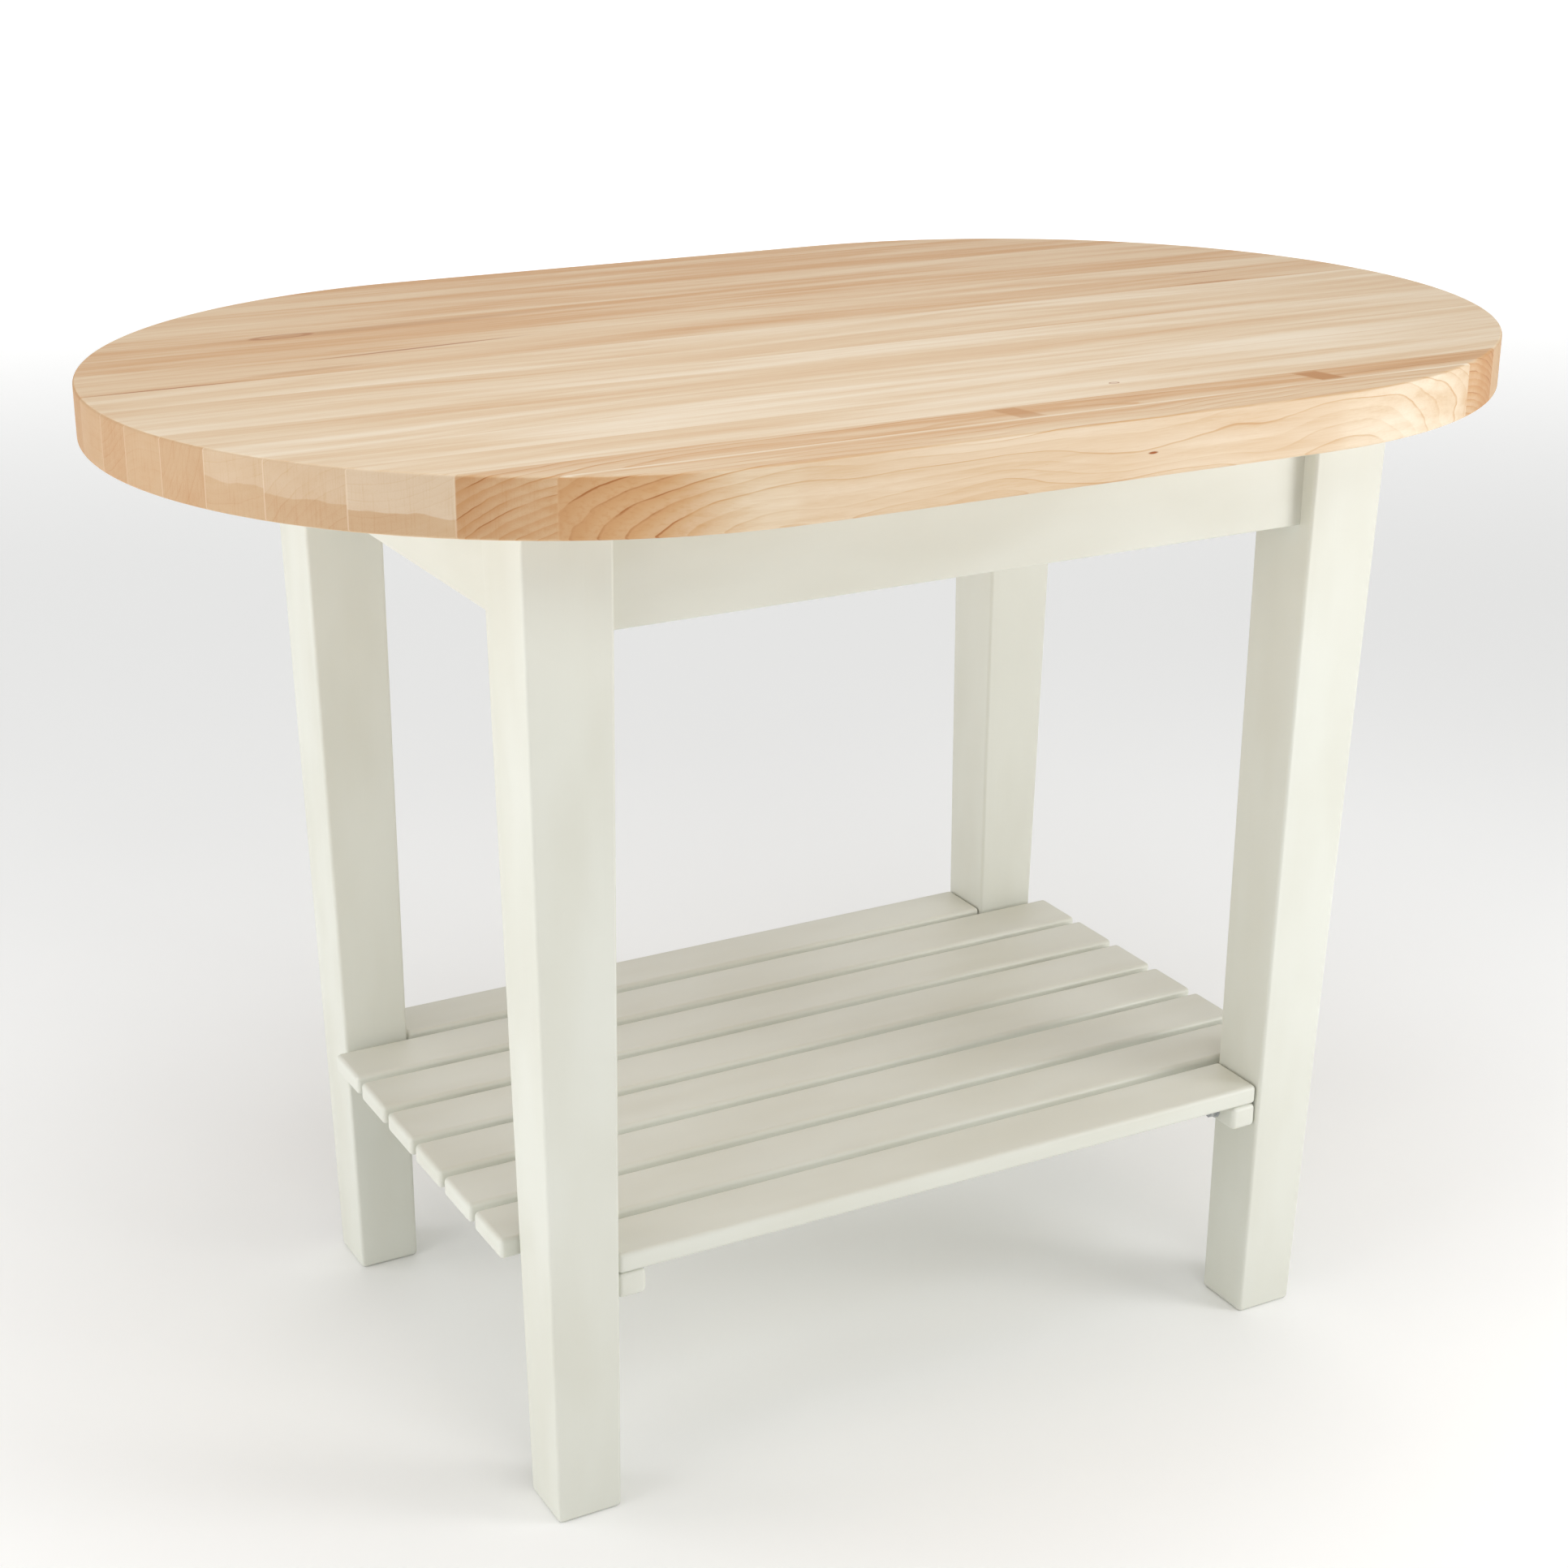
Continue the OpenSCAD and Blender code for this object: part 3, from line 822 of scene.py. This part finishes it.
def cross_recess():
    """The driver's cross of a screw head, tapered as it goes down into the head."""
    # The height of each end, and half the length and half the width of its arms, in mm
    ends = ((-3.3, 2.3, 0.62), (-1.3, 1.0, 0.42))
    rings = []
    for z, half_l, half_w in ends:
        arm = [(half_l, -half_w), (half_l, half_w), (half_w, half_w)]
        points = list(arm)
        for _ in range(3):
            arm = [(-y, x) for x, y in arm]
            points += arm
        rings.append([(x * MM, y * MM, z * MM) for x, y in points])
    return loft(rings)


def pan_head_screw(length):
    """A wood screw along +Z whose head is below z = 0, where its seat is."""
    head_r = SCREW_HEAD_D / 2
    shank_r = 0.8 * SCREW_D / 2
    # The head's outline, as shares of its height from the top and of its radius
    dome = [(0.0, 0.45), (0.12, 0.72), (0.35, 0.88), (0.7, 0.97), (0.95, 1.0)]
    levels = [(-SCREW_HEAD_T * (1 - down), head_r * out) for down, out in dome]
    levels += [(0, head_r * 0.98), (0, shank_r), (length * 0.25, shank_r)]
    thread = thread_levels(
        length * 0.26, length, SCREW_D / 2, SCREW_THREAD_PITCH, SCREW_THREAD_DEPTH, SCREW_POINT
    )
    return cut(spun(levels + thread, THREAD_SEGMENTS), cross_recess())


def washer(outer_d, hole_d, thickness):
    """A punched washer with eased edges, on z = 0."""
    ease = WASHER_EASE
    outer = outer_d / 2
    hole = hole_d / 2
    levels = [
        (0, hole + ease),
        (0, outer - ease),
        (ease, outer),
        (thickness - ease, outer),
        (thickness, outer - ease),
        (thickness, hole + ease),
        (thickness - ease, hole),
        (ease, hole),
    ]
    return spun(levels, closed=True)


def inner_corner_frame(low, high):
    """The middle of a solid at a corner of the table, and the way from it to the table's middle."""
    middle = (low + high) / 2
    inwards = Vector((-math.copysign(1, middle.x), -math.copysign(1, middle.y), 0)).normalized()
    return middle, inwards


def add_screws(steel, node):
    """All the wood screws of a node, as one piece."""
    group = bmesh.new()
    length = straight_fasteners(node)[0][2] - SCREW_HEAD_T
    screw = pan_head_screw(length)
    for head, direction, _ in straight_fasteners(node):
        add_copy(group, screw, facing(head + direction * SCREW_HEAD_T, direction))
    screw.free()
    add_piece(f"steel_{node}", group, steel, [node], sharp_deg=50)


def add_hanger_bolts(steel):
    """Threaded rods through the corner blocks into the legs."""
    bolts = bmesh.new()
    for low, high in solids("leg_hanger_bolts"):
        middle, inwards = inner_corner_frame(low, high)
        # A tilted rod's box is its length and its own width over the root of 2
        length = (high.x - low.x) * math.sqrt(2) - BOLT_D
        levels = thread_levels(0, length, BOLT_D / 2, THREAD_PITCH, THREAD_DEPTH)
        levels += [(length + BOLT_TIP, BOLT_D / 2 - THREAD_DEPTH)]
        bolt = spun(levels, THREAD_SEGMENTS)
        add_copy(bolts, bolt, facing(middle - inwards * length / 2, inwards))
        bolt.free()
    add_piece("steel_hanger_bolts", bolts, steel, ["leg_hanger_bolts"])


def add_hanger_washers(steel):
    """Washers between the corner blocks and the nuts."""
    washers = bmesh.new()
    for low, high in solids("leg_bolt_washers"):
        middle, inwards = inner_corner_frame(low, high)
        outer_d = high.z - low.z
        thickness = (high.x - low.x) * math.sqrt(2) - outer_d
        ring = washer(outer_d, WASHER_HOLE_D, thickness)
        add_copy(washers, ring, facing(middle - inwards * thickness / 2, inwards))
        ring.free()
    add_piece("steel_bolt_washers", washers, steel, ["leg_bolt_washers"])


def add_hanger_nuts(steel):
    """Hex nuts on the hanger bolts."""
    nuts = bmesh.new()
    hole = [(NUT_T / 2, BOLT_D / 2), (-NUT_T / 2, BOLT_D / 2)]
    nut = spun(hex_levels(-NUT_T / 2, NUT_T / 2, True, True) + hole, HEX_SEGMENTS, closed=True)
    for low, high in solids("leg_bolt_nuts"):
        middle, inwards = inner_corner_frame(low, high)
        add_copy(nuts, nut, facing(middle, inwards))
    nut.free()
    add_piece("steel_bolt_nuts", nuts, steel, ["leg_bolt_nuts"])


def add_cleat_bolts(steel):
    """Hex bolts through the cleats into the legs."""
    bolts = bmesh.new()
    for head, direction, length in straight_fasteners("cleat_bolts"):
        shank = [(BOLT_HEAD_T, BOLT_D / 2), (length, BOLT_D / 2)]
        bolt = spun(hex_levels(0, BOLT_HEAD_T, True, False) + shank, HEX_SEGMENTS)
        add_copy(bolts, bolt, facing(head, direction))
        bolt.free()
    add_piece("steel_cleat_bolts", bolts, steel, ["cleat_bolts"])


def add_cleat_washers(steel):
    """Washers under the heads of the cleat bolts."""
    washers = bmesh.new()
    for low, high in solids("cleat_bolt_washers"):
        middle = (low + high) / 2
        outwards = Vector((math.copysign(1, middle.x), 0, 0))
        thickness = high.x - low.x
        ring = washer(high.z - low.z, WASHER_HOLE_D, thickness)
        add_copy(washers, ring, facing(middle - outwards * thickness / 2, outwards))
        ring.free()
    add_piece("steel_cleat_washers", washers, steel, ["cleat_bolt_washers"])


def bracket_outline(reach):
    """The bent strip of an angle bracket in X and Z, as a closed outline."""
    outer_bend = eased(BRACKET_BEND_R, BRACKET_BEND_STEPS)
    inner_bend = eased(BRACKET_BEND_R - BRACKET_T, BRACKET_BEND_STEPS)
    outer = [(inset, -rise) for rise, inset in outer_bend]
    inner = [(BRACKET_T + rise, -BRACKET_T - inset) for rise, inset in inner_bend]
    return [(reach, 0)] + outer + [(0, -reach), (BRACKET_T, -reach)] + inner + [(reach, -BRACKET_T)]


def add_brackets(steel):
    """Angle brackets between the aprons and the top."""
    group = bmesh.new()
    for low, high in solids("top_brackets"):
        size = high - low
        middle = (low + high) / 2
        on_side_apron = abs(middle.x) > abs(middle.y)
        if on_side_apron:
            width = size.y
            back = math.copysign(max(abs(low.x), abs(high.x)), middle.x)
            bend = (back, middle.y, high.z)
            turn = math.pi if middle.x > 0 else 0
        else:
            width = size.x
            back = math.copysign(max(abs(low.y), abs(high.y)), middle.y)
            bend = (middle.x, back, high.z)
            turn = -math.pi / 2 if middle.y > 0 else math.pi / 2
        outline = bracket_outline(size.z)
        bracket = loft([[(x, y, z) for x, z in outline] for y in (-width / 2, width / 2)])
        add_copy(group, bracket, Matrix.Translation(bend) @ Matrix.Rotation(turn, 4, "Z"))
        bracket.free()
    add_piece("steel_top_brackets", group, steel, ["top_brackets"])


# ------------------------------------------------------------------ studio


FLOOR_REACH = 30
FLOOR_GLOW = 0.48
GLOW_START_MM = 1700
GLOW_FULL_MM = 8000


def add_floor():
    """A plain pale floor that runs out past the view and glows white far from the table."""
    g = Graph("studio_floor")
    place = g.place()
    haze = g.noise(place, (900, 900, 900), 1.0)
    colour = g.mix(haze, srgb(251, 251, 250), srgb(249, 249, 248))
    away = g.node("ShaderNodeVectorMath", {"operation": "LENGTH"}, {0: place}).outputs["Value"]
    glow = g.math("MULTIPLY", g.rise(away, GLOW_START_MM, GLOW_FULL_MM), FLOOR_GLOW)
    material = g.finish(
        Base_Color=colour,
        Roughness=0.9,
        Specular_IOR_Level=0.1,
        Emission_Color=(1, 1, 1, 1),
        Emission_Strength=glow,
    )
    mesh = bmesh.new()
    bmesh.ops.create_grid(mesh, x_segments=4, y_segments=4, size=FLOOR_REACH)
    data = bpy.data.meshes.new("studio_floor")
    mesh.to_mesh(data)
    mesh.free()
    data.materials.append(material)
    floor = bpy.data.objects.new("studio_floor", data)
    scene.collection.objects.link(floor)


# Softboxes: name, place, what it points at, its two sizes and its power in watts
SOFTBOXES = [
    ("left_low", (-3.0, -0.6, 0.7), (0, 0, 0.4), (1.6, 1.2), 25.5),
    ("left_back", (-2.8, 1.2, 1.2), (0, 0, 0.5), (1.5, 1.5), 17.5),
    ("front_high", (-0.4, -3.0, 3.0), (0, 0, 0.5), (2.0, 1.2), 19.5),
    ("front_right", (2.6, -2.0, 1.05), (0.2, 0, 0.4), (1.0, 1.0), 14.5),
    ("front_right_near", (1.4, -1.5, 0.75), (0.3, 0, 0.4), (0.7, 0.7), 10.5),
    ("overhead", (-0.2, -0.4, 2.5), (0, -0.2, 0), (1.2, 1.2), 11),
    ("ceiling", (3, 5, 12), (3, 5, 0), (60, 60), 6000),
    ("background", (4.5, 9, 5), (4.5, 9, 0), (10, 10), 250),
]
WORLD_STRENGTH = 0.08


def add_lights():
    """The softboxes, and a faint white world behind them."""
    for name, place, target, size, power in SOFTBOXES:
        light = bpy.data.lights.new(f"softbox_{name}", "AREA")
        light.shape = "RECTANGLE"
        light.size, light.size_y = size
        light.energy = power
        lamp = bpy.data.objects.new(light.name, light)
        lamp.matrix_world = facing(Vector(place), Vector(place) - Vector(target))
        scene.collection.objects.link(lamp)
    world = bpy.data.worlds.new("studio")
    world.use_nodes = True
    background = world.node_tree.nodes["Background"]
    background.inputs["Color"].default_value = (1, 1, 1, 1)
    background.inputs["Strength"].default_value = WORLD_STRENGTH
    scene.world = world


def add_camera():
    """A camera where the photograph's view is seen from."""
    data = bpy.data.cameras.new("camera")
    data.lens = LENS_MM
    data.shift_x, data.shift_y = LENS_SHIFT
    camera = bpy.data.objects.new("camera", data)
    turn = Euler((math.radians(90 - LOOKS_DOWN_DEG), 0, -math.radians(LOOKS_RIGHT_DEG)))
    roll = Matrix.Rotation(math.radians(ROLL_DEG), 4, "Z")
    camera.matrix_world = Matrix.Translation(CAMERA_PLACE) @ turn.to_matrix().to_4x4() @ roll
    scene.collection.objects.link(camera)
    scene.camera = camera


add_camera()
add_top()
paint = {axis: cream_paint(axis) for axis in "xyz"}
add_legs(paint["z"])
add_aprons(paint["x"], paint["y"])
add_shelf(paint["x"], paint["y"])
block_wood = poplar()
for corner in CORNERS:
    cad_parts[f"corner_block_{corner}"].data.materials[0] = block_wood
steel = zinc_steel()
add_hanger_bolts(steel)
add_hanger_washers(steel)
add_hanger_nuts(steel)
add_cleat_bolts(steel)
add_cleat_washers(steel)
add_brackets(steel)
for screws in ("corner_block_screws", "top_bracket_screws", "slat_screws"):
    add_screws(steel, screws)
add_floor()
add_lights()
scene.view_settings.view_transform = "Standard"
